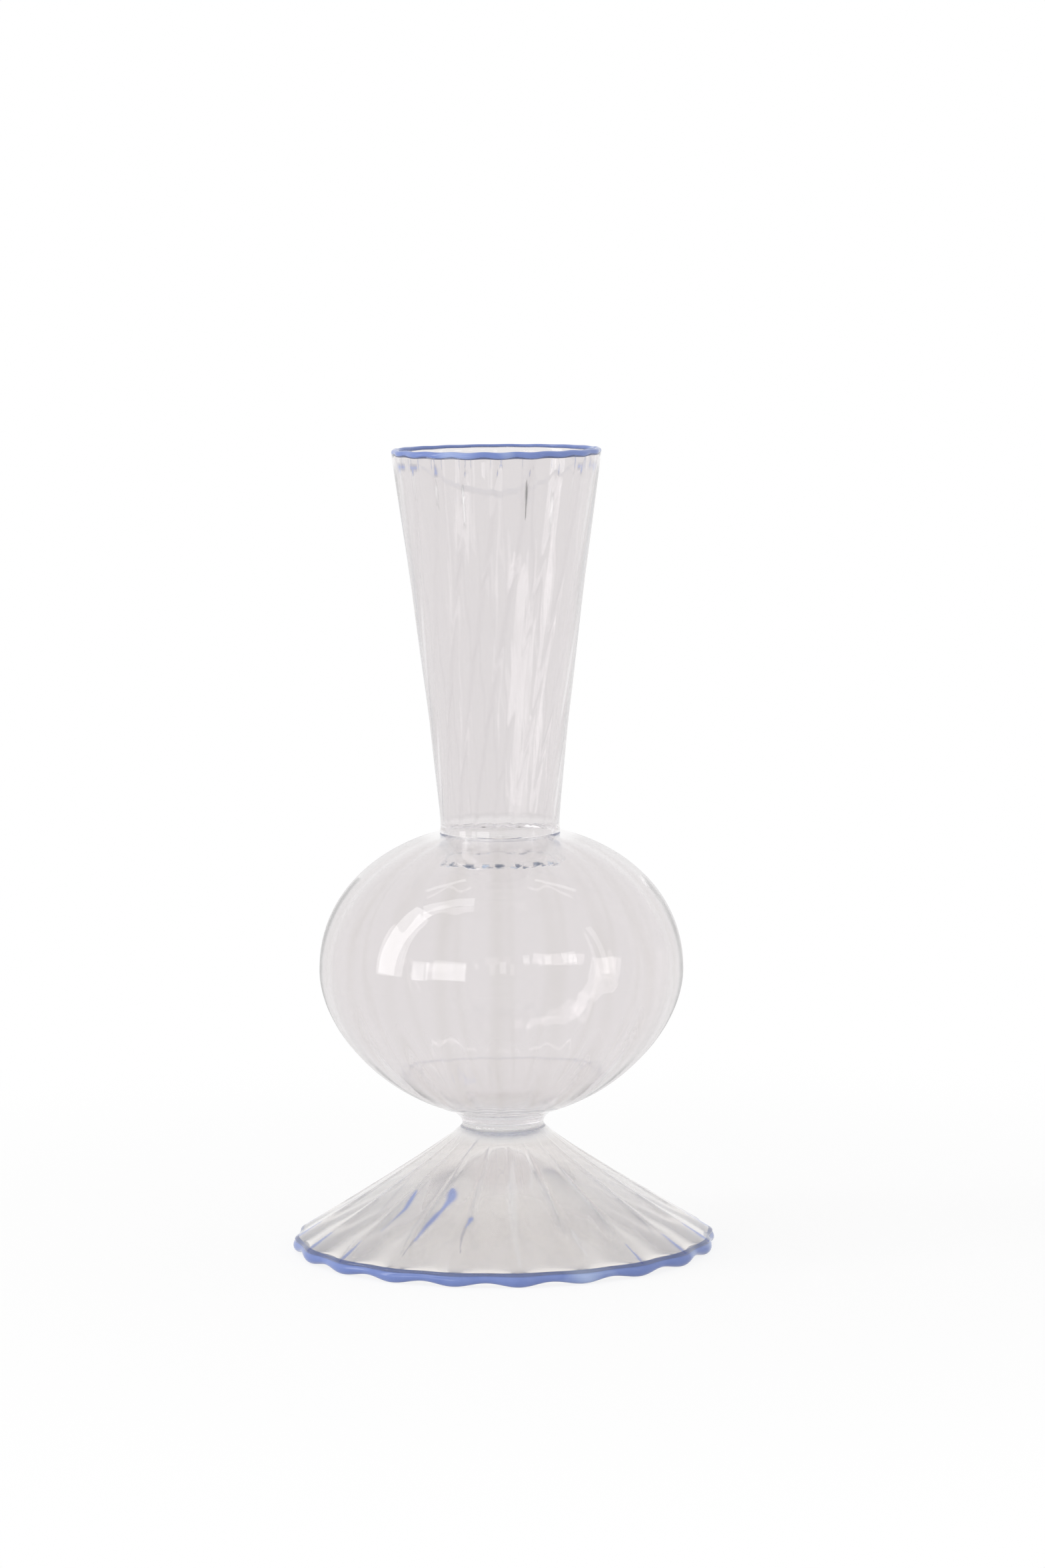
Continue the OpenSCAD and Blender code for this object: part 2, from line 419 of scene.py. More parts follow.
@dataclass(frozen=True)
class RibRule:
    """How the ribs lie round a piece, and the tree that raises them.

    First is the angle in degrees of one rib, and uneven the largest share by which
    a rib can be lower than the others.
    """

    count: int = RIB_COUNT
    first: float = 0.0
    uneven: float = 0.0
    seed: int = 1

    def tree(self) -> bpy.types.NodeTree:
        """Builds the Geometry Nodes tree, or finds it again.

        Returns:
            The tree, whose named inputs are the rule's values and the finishes.
        """
        old = bpy.data.node_groups.get("raise_ribs")
        if old:
            return old
        tree = bpy.data.node_groups.new("raise_ribs", "GeometryNodeTree")
        for name, kind in (
            ("Rings", "NodeSocketGeometry"),
            ("Rib Count", "NodeSocketFloat"),
            ("First Rib", "NodeSocketFloat"),
            ("Uneven", "NodeSocketFloat"),
            ("Seed", "NodeSocketInt"),
            ("Glass", "NodeSocketMaterial"),
            ("Joint", "NodeSocketMaterial"),
        ):
            tree.interface.new_socket(name, in_out="INPUT", socket_type=kind)
        tree.interface.new_socket("Piece", in_out="OUTPUT", socket_type="NodeSocketGeometry")
        sketch = Sketch(tree)
        given = sketch.add("NodeGroupInput").outputs
        here = sketch.add("GeometryNodeInputPosition").outputs[0]
        x, y, z = sketch.add("ShaderNodeSeparateXYZ", {0: here}).outputs
        radius = sketch.math("SQRT", sketch.math("MULTIPLY_ADD", x, x, sketch.math("MULTIPLY", y, y)))
        offset = sketch.math("ADD", given["First Rib"], sketch.named("turn"))
        angle = sketch.math("SUBTRACT", sketch.math("ARCTAN2", y, x), offset)
        phase = sketch.math("MULTIPLY", given["Rib Count"], angle)
        swell = sketch.math("MULTIPLY_ADD", sketch.math("COSINE", phase), 0.5, 0.5)
        wave = sketch.math("POWER", swell, sketch.named("sharpness"))

        index = sketch.math("ROUND", sketch.math("DIVIDE", phase, math.tau))
        wrapped = sketch.math("FLOORED_MODULO", index, given["Rib Count"])
        least = sketch.math("SUBTRACT", 1.0, given["Uneven"])
        draw = {2: least, 3: 1.0, "ID": wrapped, "Seed": given["Seed"]}
        luck = sketch.add("FunctionNodeRandomValue", draw, data_type="FLOAT").outputs[1]
        height = sketch.math("MULTIPLY", wave, luck)

        stand = sketch.math("MULTIPLY", sketch.named("rib"), sketch.math("SUBTRACT", height, 1.0))
        safe = sketch.math("MAXIMUM", radius, LEAST_R)
        grown = sketch.math("DIVIDE", sketch.math("ADD", radius, stand), safe)
        moved = sketch.add("ShaderNodeCombineXYZ", {
            0: sketch.math("MULTIPLY", x, grown),
            1: sketch.math("MULTIPLY", y, grown),
            2: sketch.math("SUBTRACT", z, sketch.math("MULTIPLY", sketch.named("drop"), height)),
        }).outputs[0]
        line = sketch.math("POWER", height, CREST_SHARPNESS)
        tint = sketch.math("MULTIPLY", line, sketch.named("stripe"))
        crests = {"Geometry": given["Rings"], "Name": "crest", "Value": tint}
        crest = sketch.add("GeometryNodeStoreNamedAttribute", crests, data_type="FLOAT", domain="POINT")
        shape = sketch.add("GeometryNodeSetPosition", {"Geometry": crest.outputs[0], "Position": moved})
        real = sketch.add("GeometryNodeRealizeInstances", {0: shape.outputs[0]})
        whole = {"Geometry": real.outputs[0], "Material": given["Glass"]}
        glass = sketch.add("GeometryNodeSetMaterial", whole)
        fused = sketch.math("GREATER_THAN", sketch.named("fused"), 0.5)
        joints = {"Geometry": glass.outputs[0], "Selection": fused, "Material": given["Joint"]}
        piece = sketch.add("GeometryNodeSetMaterial", joints)
        sketch.add("NodeGroupOutput", {0: piece.outputs[0]})
        return tree


class Skin:
    """A closed skin of glass over rings of points round the axis."""

    def __init__(self, name: str, rings: list[Ring], closed: bool) -> None:
        """Keeps the rings in order along the section.

        Args:
            name: The piece's name.
            rings: The rings, with a first and last radius of zero for a dome.
            closed: True when the last ring is joined to the first.
        """
        self.name = name
        self.rings = rings
        self.closed = closed

    def mesh(self) -> bpy.types.Mesh:
        """Builds the smooth skin, with the rings' values as attributes.

        Returns:
            The new mesh, with its faces outwards.
        """
        angles = np.arange(AROUND) * (math.tau / AROUND)
        across, along = np.cos(angles), np.sin(angles)
        points, starts, rows = [], [], []
        count = 0
        for ring in self.rings:
            starts.append(count)
            if ring.r > 0:
                line = np.stack([ring.r * across, ring.r * along, np.full(AROUND, ring.z)], axis=1)
            else:
                line = np.array([[0.0, 0.0, ring.z]])
            points.append(line * MM)
            values = [ring.rib * MM, ring.drop * MM, math.radians(ring.turn), ring.sharpness,
                      ring.haze, ring.stripe, ring.limb]
            rows.append(np.tile(values, (len(line), 1)))
            count += len(line)
        faces, fused = [], []
        for first, second in self.pairs():
            faces.extend(self.band(first, second, starts).tolist())
            joint = self.rings[first].fused and self.rings[second].fused
            fused.extend([float(joint)] * AROUND)
        mesh = bpy.data.meshes.new(self.name)
        mesh.from_pydata(np.concatenate(points).tolist(), [], faces)
        table = np.concatenate(rows).astype(np.float32)
        for column, label in enumerate(("rib", "drop", "turn", "sharpness", "haze", "stripe", "limb")):
            mesh.attributes.new(label, "FLOAT", "POINT").data.foreach_set("value", table[:, column])
        mesh.attributes.new("fused", "FLOAT", "FACE").data.foreach_set("value", fused)
        solid = bmesh.new()
        solid.from_mesh(mesh)
        bmesh.ops.recalc_face_normals(solid, faces=solid.faces)
        solid.to_mesh(mesh)
        solid.free()
        return mesh

    def pairs(self) -> list[tuple[int, int]]:
        """Lists the neighbouring rings.

        Returns:
            The numbers of both rings of each band.
        """
        last = len(self.rings) - 1
        pairs = [(k, k + 1) for k in range(last)]
        return pairs + [(last, 0)] if self.closed else pairs

    def band(self, first: int, second: int, starts: list[int]) -> np.ndarray:
        """Lays the faces between two rings: triangles to a ring that is a point.

        Args:
            first: The number of the one ring.
            second: The number of the other ring.
            starts: The number of each ring's first point.

        Returns:
            The faces' points.
        """
        here = np.arange(AROUND)
        after = (here + 1) % AROUND
        i, j = starts[first], starts[second]
        if self.rings[first].r <= 0:
            return np.stack([np.full(AROUND, i), j + after, j + here], axis=1)
        if self.rings[second].r <= 0:
            return np.stack([i + here, i + after, np.full(AROUND, j)], axis=1)
        return np.stack([i + here, i + after, j + after, j + here], axis=1)

    def piece(self, rule: RibRule, finish: bpy.types.Material,
              joint: bpy.types.Material) -> bpy.types.Object:
        """Raises the ribs and makes the result a plain object.

        Args:
            rule: How the ribs lie.
            finish: The glass.
            joint: The finish of the fused faces.

        Returns:
            The finished piece.
        """
        plain = bpy.data.objects.new(self.name + "_rings", self.mesh())
        bpy.context.scene.collection.objects.link(plain)
        tree = rule.tree()
        modifier = plain.modifiers.new("ribs", "NODES")
        modifier.node_group = tree
        values = {
            "Rib Count": float(rule.count),
            "First Rib": math.radians(rule.first),
            "Uneven": rule.uneven,
            "Seed": rule.seed,
            "Glass": finish,
            "Joint": joint,
        }
        for item in tree.interface.items_tree:
            if item.item_type == "SOCKET" and item.in_out == "INPUT" and item.name in values:
                modifier[item.identifier] = values[item.name]
        bpy.context.view_layer.update()
        graph = bpy.context.evaluated_depsgraph_get()
        mesh = bpy.data.meshes.new_from_object(plain.evaluated_get(graph))
        plain.modifiers.remove(modifier)
        bpy.data.objects.remove(plain)
        self.smooth(mesh)
        mesh.name = self.name
        piece = bpy.data.objects.new(self.name, mesh)
        bpy.context.scene.collection.objects.link(piece)
        return piece

    def smooth(self, mesh: bpy.types.Mesh) -> None:
        """Shades the glass smooth and keeps the edges of the fused faces crisp.

        Args:
            mesh: The finished mesh.
        """
        mesh.polygons.foreach_set("use_smooth", [True] * len(mesh.polygons))
        solid = bmesh.new()
        solid.from_mesh(mesh)
        for edge in solid.edges:
            edge.smooth = len({face.material_index for face in edge.link_faces}) < 2
        solid.to_mesh(mesh)
        solid.free()
        for name in ("rib", "drop", "turn", "sharpness", "stripe", "fused"):
            mesh.attributes.remove(mesh.attributes[name])


@dataclass(frozen=True)
class Levels:
    """Heights, radii and walls where the pieces meet, in millimetres."""

    collar_low: float
    globe_low: float
    shoulder: float
    rim: float
    globe_r: float
    mouth_r: float
    opening_r: float = 17.4
    shoulder_t: float = 1.8
    neck_r: float = 18.3
    neck_wall: float = 1.0

    @staticmethod
    def from_frame() -> "Levels":
        """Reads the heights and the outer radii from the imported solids' boxes.

        Returns:
            The levels.
        """
        low = {node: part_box(node)[0] / MM for node in ("stem_collar", "globe", "neck")}
        high = {node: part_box(node)[1] / MM for node in ("globe", "neck")}
        return Levels(
            collar_low=low["stem_collar"].z,
            globe_low=low["globe"].z,
            shoulder=low["neck"].z,
            rim=high["neck"].z,
            globe_r=high["globe"].x,
            mouth_r=high["neck"].x,
        )


def seat(piece: bpy.types.Object, node: str) -> None:
    """Puts a piece in its CAD node's place and reports it.

    Args:
        piece: The finished piece.
        node: The CAD node that it stands for.
    """
    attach(piece, BODY)
    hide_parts(node)
    LOG.info("%s: %d faces for %s", piece.name, len(piece.data.polygons), node)


def ease(share: float) -> float:
    """Returns a share held between 0 and 1 and eased at both ends."""
    share = min(1.0, max(0.0, share))
    return share * share * (3 - 2 * share)


def blend(first: float, last: float, share: float) -> float:
    """Returns the value at a share of the way from the first to the last."""
    return first + (last - first) * share


def around(angle: float, r: float, z: float) -> Point:
    """Returns the point at an angle in degrees, a radius and a height."""
    return (r * math.cos(math.radians(angle)), r * math.sin(math.radians(angle)), z)


@dataclass(frozen=True)
class Mark:
    """A streak of painted light on the glass along a path: a painted reflection of blue thread, a painted
    glint or painted shade.

    It is narrowest at its ends and widest about a quarter of the way along. Its
    edge is soft: the mark starts to fade at (core - 1) / fall of its half width
    and is gone at core / fall.
    """

    path: tuple[Point, ...]
    width: float
    colour: Colour
    strength: float = 1.0
    end_share: float = 0.45
    lean: float = 2.2
    core: float = 1.7
    fall: float = 1.2

    def amount(self, points: np.ndarray) -> np.ndarray:
        """Finds how strongly each point is marked, from 0 to 1.

        Args:
            points: The points in millimetres.

        Returns:
            One number for each point.
        """
        ends = [np.array(end) for end in self.path]
        lengths = [float(np.linalg.norm(last - first)) for first, last in zip(ends, ends[1:])]
        amount, before = np.zeros(len(points)), 0.0
        for first, last, length in zip(ends, ends[1:], lengths):
            offset = points - first
            share = np.clip(offset @ (last - first) / length ** 2, 0.0, 1.0)
            away = np.linalg.norm(offset - share[:, None] * (last - first), axis=1)
            along = (before + share * length) / sum(lengths)
            swell = np.sin(np.pi * (1 - along) ** self.lean)
            near = self.width * (self.end_share + (1 - self.end_share) * swell)
            amount = np.maximum(amount, np.clip(self.core - self.fall * away / near, 0.0, 1.0))
            before += length
        return self.strength * amount


@dataclass(frozen=True)
class Band:
    """A change of tint between two heights, full over the middle half between them."""

    low: float
    high: float
    colour: Colour
    strength: float = 1.0

    @staticmethod
    def about(height: float, reach: float, colour: Colour, strength: float = 1.0) -> "Band":
        """Returns the band that reaches this far above and below a height."""
        return Band(height - reach, height + reach, colour, strength)

    def amount(self, points: np.ndarray) -> np.ndarray:
        """Finds how strongly each point is changed, from 0 to 1.

        Args:
            points: The points in millimetres.

        Returns:
            One number for each point.
        """
        inside = 1 - np.abs(points[:, 2] * 2 - self.low - self.high) / (self.high - self.low)
        return self.strength * np.clip(inside * 2, 0.0, 1.0)


def tint_and_painted_light(piece: bpy.types.Object, marks: list[Mark | Band]) -> None:
    """Stores the marks' colours, painted light and tints, on a piece of glass, with their strength as
    alpha.

    Args:
        piece: The piece.
        marks: Its marks; where some overlap, the strongest shows.
    """
    count = len(piece.data.vertices)
    points = np.empty(count * 3)
    piece.data.vertices.foreach_get("co", points)
    points = points.reshape(-1, 3) / MM
    table = np.zeros((count, 4))
    for mark in marks:
        amount = mark.amount(points)
        over = amount > table[:, 3]
        table[over, :3] = mark.colour
        table[over, 3] = amount[over]
    layer = piece.data.attributes.new("tint_and_painted_light", "FLOAT_COLOR", "POINT")
    layer.data.foreach_set("color", table.ravel())


@dataclass(frozen=True)
class PaintedLine:
    """A line of painted light on the foot: half its width, and the angles and radii it runs through."""

    colour: Colour
    width: float
    strength: float
    route: Route


# The lines of painted light on the foot's slope: white ones are painted highlights, grey ones painted
# shade, blue ones the painted reflection of the blue thread
PAINTED_LINES = (
    PaintedLine(GLINT, 0.4, 1.0, ((-46.5, 24.2), (-50.6, 33.1), (-50.6, 41.6), (-51.0, 62.2))),
    PaintedLine(GLINT, 0.45, 1.0, ((-61.8, 19.6), (-64.4, 26.9), (-67.3, 38.2), (-68.7, 53.5))),
    PaintedLine(GLINT, 0.7, 1.0, ((-65.2, 48.7), (-65.8, 55.9), (-64.9, 60.9))),
    PaintedLine(GLINT, 1.6, 0.7, ((-82.3, 22.7), (-86.2, 37.4), (-86.4, 49.9), (-85.7, 62.1))),
    PaintedLine(GLINT, 0.6, 0.8, ((-69.6, 20.6), (-70.9, 26.6), (-75.2, 33.0), (-74.2, 40.3), (-74.1, 48.5))),
    PaintedLine(SHADE_LINE, 0.5, 0.9, ((-120.3, 52.0), (-121.1, 60.0))),
    PaintedLine(SHADE_LINE, 0.35, 0.8, ((-119.6, 15.4), (-124.4, 23.8), (-124.0, 30.3))),
    PaintedLine(SHADE_LINE, 0.8, 0.35, ((-125.5, 30.9), (-125.0, 41.2), (-124.4, 49.0), (-122.0, 59.1))),
    PaintedLine(SHADE_LINE, 0.35, 0.7, ((-104.0, 17.9), (-106.7, 28.8), (-107.9, 35.1), (-106.5, 40.1))),
    PaintedLine(SHADE_LINE, 0.55, 0.8, ((-104.0, 46.0), (-104.5, 51.3), (-103.5, 57.6))),
    PaintedLine(SHADE_LINE, 0.7, 0.45, ((-154.8, 31.0), (-146.7, 48.2), (-143.6, 57.5), (-141.3, 63.3))),
    PaintedLine(SHADE_LINE, 0.42, 0.8, ((-136.3, 28.6), (-137.2, 32.4), (-135.5, 44.0), (-137.7, 56.9))),
    PaintedLine(SHADE_LINE, 0.6, 0.6, ((-162.0, 24.0), (-159.0, 35.3), (-161.5, 55.8), (-160.6, 62.6))),
    PaintedLine(SHADE_LINE, 0.6, 0.5, ((-171.7, 24.2), (-173.5, 49.4), (-172.2, 62.1))),
    PaintedLine(SHADE_LINE, 0.5, 0.7, ((-33.4, 46.5), (-33.7, 52.2), (-35.7, 57.5), (-36.1, 63.0))),
    PaintedLine(SHADE_LINE, 0.5, 0.7, ((-21.7, 51.9), (-20.4, 56.9), (-19.9, 62.2))),
    PaintedLine(THREAD_REFLECTION, 1.7, 1.0, ((-118.0, 33.6), (-115.6, 37.0), (-117.5, 42.6))),
    PaintedLine(THREAD_REFLECTION, 1.05, 1.0, ((-117.2, 41.0), (-119.5, 48.0), (-120.3, 54.0))),
    PaintedLine(THREAD_REFLECTION, 1.0, 1.0, ((-138.2, 36.3), (-135.2, 42.8), (-136.6, 52.0))),
    PaintedLine(THREAD_REFLECTION, 0.75, 1.0, ((-102.7, 43.7), (-104.0, 47.5))),
)


@dataclass
class Foot:
    """The spreading foot, with its smooth rolled rim, and the blue thread under it.

    Shares of the way down its outside: ribs_in and stripes_in are where the ribs
    and their tint are full, scallops_from is where they start to widen into the
    scallops, and haze_out is where the haze of the top joint ends. Rib ends that
    lie sideways by more than side_share hold a painted reflection of the blue
    thread, more of it the further they do.
    """

    levels: Levels
    top_r: float = 13.3
    shoulder_r: float = 58.0
    shoulder_z: float = 8.9
    round_share: float = 1.08
    rim_r: float = 65.6
    rim_z: float = 3.9
    rim_t: float = 1.0
    rib: float = 0.65
    rib_sharpness: float = 10.0
    wave: float = 1.2
    ribs: RibRule = RibRule(first=4.0, uneven=0.15, seed=3)
    ribs_in: float = 0.3
    stripes_in: float = 0.4
    scallops_from: float = 0.55
    top_haze: float = 0.5
    haze_out: float = 0.07
    hollow_h: float = 26.5
    hollow_share: float = 1.2
    hollow_haze: float = 0.45
    hollow_haze_in: float = 0.06
    hollow_wave_fade: float = 40.0
    steps: int = 56
    roll_steps: int = 8
    rim_steps: int = 14
    hollow_steps: int = 50
    thread_h: float = 4.0
    thread_r: float = 64.1
    thread_w: float = 4.0
    thread_sides: int = 28
    joint_reach: float = 3.0
    grey: Colour = (0.8, 0.765, 0.745)
    pale: Colour = (1.0, 0.96, 0.925)
    side_share: float = 0.55
    rib_end_r: float = 57.5
    rib_end_w: float = 0.4
    rib_end_grow: float = 2.4

    def slope(self) -> float:
        """Returns how steeply the outside falls at its shoulder."""
        fall = self.levels.collar_low - self.shoulder_z
        return fall / (self.shoulder_r - self.top_r) / self.round_share

    def roll_r(self) -> float:
        """Returns the radius at which the outside rolls over into the rim."""
        half = self.rim_t / 2
        return self.rim_r - half + half * math.cos(math.atan2(1, self.slope()))

    def height(self, r: float) -> float:
        """Finds the height of the outside.

        Args:
            r: The radius.

        Returns:
            The height there.
        """
        if r <= self.shoulder_r:
            down = (r - self.top_r) / (self.shoulder_r - self.top_r)
            return blend(self.levels.collar_low, self.shoulder_z, down ** (1 / self.round_share))
        out = (r - self.shoulder_r) / (self.roll_r() - self.shoulder_r)
        steep = self.slope() * (self.roll_r() - self.shoulder_r)
        roll_z = self.rim_z + self.rim_t / 2 * math.sin(math.atan2(1, self.slope()))
        return self.shoulder_z - steep * out - (self.shoulder_z - roll_z - steep) * out ** 2

    def outside(self) -> list[Ring]:
        """Lays the rings down the outside, whose ribs widen into the scallops.

        Returns:
            The rings from the top joint's middle to the shoulder.
        """
        rings = [Ring(0.0, self.levels.collar_low, fused=True)]
        for k in range(self.steps + 1):
            down = k / self.steps
            low = ease((down - self.scallops_from) / (1 - self.scallops_from))
            r = blend(self.top_r, self.shoulder_r, down)
            rings.append(Ring(
                r, self.height(r),
                rib=blend(self.rib, self.wave, low) * ease(down / self.ribs_in),
                sharpness=blend(self.rib_sharpness, 1, low),
                haze=self.top_haze * ease(1 - down / self.haze_out),
                stripe=ease(down / self.stripes_in) * (1 - low),
                fused=k == 0,
            ))
        return rings

    def rim(self) -> list[Ring]:
        """Lays the rings over the rolled rim.

        Returns:
            The rings from the shoulder to the rim's underside.
        """
        rings = []
        half = self.rim_t / 2
        first = math.atan2(1, self.slope())
        for k in range(1, self.roll_steps):
            r = blend(self.shoulder_r, self.roll_r(), k / self.roll_steps)
            rings.append(Ring(r, self.height(r), self.wave))
        for k in range(self.rim_steps + 1):
            angle = blend(first, -math.pi / 2, k / self.rim_steps)
            r = self.rim_r - half + half * math.cos(angle)
            rings.append(Ring(r, self.rim_z + half * math.sin(angle), self.wave))
        return rings

    def hollow(self) -> list[Ring]:
        """Lays the rings of the hollow.

        Returns:
            The rings from the rim to the hollow's middle.
        """
        rings = []
        edge_r, base = self.rim_r - self.rim_t / 2, self.rim_z - self.rim_t / 2
        for k in range(self.hollow_steps - 1, 0, -1):
            out = k / self.hollow_steps
            z = blend(base, self.hollow_h, 1 - out ** self.hollow_share)
            haze = self.hollow_haze * min(1.0, (1 - out) / self.hollow_haze_in)
            rings.append(Ring(edge_r * out, z, self.wave * out ** self.hollow_wave_fade, haze=haze))
        rings.append(Ring(0.0, self.hollow_h, haze=self.hollow_haze))
        return rings

    def line(self, route: Route, width: float, colour: Colour, strength: float = 1.0) -> Mark:
        """Returns a mark on the outside through angles in degrees and radii."""
        return Mark(tuple(around(angle, r, self.height(r)) for angle, r in route), width, colour, strength)

    def marks(self) -> list[Mark | Band]:
        """Lists the painted lines of light, shade and reflected blue thread, the painted blue reflection in
        the rib ends at the sides, and the bands of tint, one of them painted light at the top joint.

        Returns:
            The foot's marks.
        """
        marks = [self.line(painted_line.route, painted_line.width, painted_line.colour, painted_line.strength) for painted_line in PAINTED_LINES]
        # Painted reflection of the blue thread in the rib ends that lie sideways
        for k in range(RIB_COUNT):
            angle = self.ribs.first + k * 360 / RIB_COUNT
            side = abs(math.cos(math.radians(angle))) - self.side_share
            if side > 0:
                route = ((angle, self.roll_r()), (angle, self.rib_end_r))
                marks.append(self.line(route, self.rib_end_w + self.rib_end_grow * side, THREAD_REFLECTION))
        return marks + [
            # Painted light: the top joint is lifted to untinted glass, so the ring there shows no darker
            Band.about(self.levels.collar_low, self.joint_reach, GLINT),
            Band(low=24.0, high=37.0, colour=self.grey, strength=0.65),
            Band(low=2.5, high=13.0, colour=self.pale, strength=0.35),
        ]

    def thread(self, finishes: Finishes) -> bpy.types.Object:
        """Winds the blue thread under the rim: level above, scalloped below.

        Args:
            finishes: The shared materials.

        Returns:
            The thread.
        """
        rings = []
        thin = self.thread_h - self.wave
        for k in range(self.thread_sides):
            angle = math.tau * k / self.thread_sides
            below = (1 - math.sin(angle)) / 2
            r = self.thread_r + self.thread_w / 2 * math.cos(angle)
            rings.append(Ring(r, self.thread_h - thin * below, self.wave, self.wave * below))
        wound = Skin("foot_thread", rings, closed=True)
        piece = wound.piece(self.ribs, finishes.blue, finishes.joint)
        for vertex in piece.data.vertices:
            vertex.co.z = max(vertex.co.z, 0.0)
        return piece

    def build(self, finishes: Finishes) -> None:
        """Builds and seats the foot and its thread.

        Args:
            finishes: The shared materials.
        """
        glass = Skin("foot_glass", self.outside() + self.rim() + self.hollow(), closed=False)
        piece = glass.piece(self.ribs, finishes.thick, finishes.joint)
        tint_and_painted_light(piece, self.marks())
        seat(piece, "foot")
        seat(self.thread(finishes), "foot_edge_wrap")


@dataclass
class Collar:
    """The clear collar between the foot and the globe, flared at both ends."""

    levels: Levels
    waist_r: float = 12.7
    waist_h: float = 1.4
    foot_flare: float = 0.6
    globe_flare: float = 3.2
    foot_haze: float = 0.8
    grey: Colour = (0.67, 0.66, 0.68)
    grey_share: float = 0.9
    steps: int = 12

    def build(self, finishes: Finishes) -> None:
        """Builds and seats the collar.

        Args:
            finishes: The shared materials.
        """
        low, high = self.levels.collar_low, self.levels.globe_low
        waist = low + self.waist_h
        rings = [Ring(0.0, low, fused=True)]
        for k in range(self.steps + 1):
            up = k / self.steps
            r = self.waist_r + self.foot_flare * (1 - up) ** 2
            rings.append(Ring(r, blend(low, waist, up), haze=self.foot_haze * (1 - up), fused=k == 0))
        for k in range(1, self.steps + 1):
            up = k / self.steps
            r = self.waist_r + self.globe_flare * up ** 2
            rings.append(Ring(r, blend(waist, high, up), fused=k == self.steps))
        rings.append(Ring(0.0, high, fused=True))
        collar = Skin("stem_collar_glass", rings, closed=False)
        piece = collar.piece(RibRule(), finishes.thick, finishes.joint)
        tint_and_painted_light(piece, [Band(low - self.waist_h, high + self.waist_h, self.grey, self.grey_share)])
        seat(piece, "stem_collar")


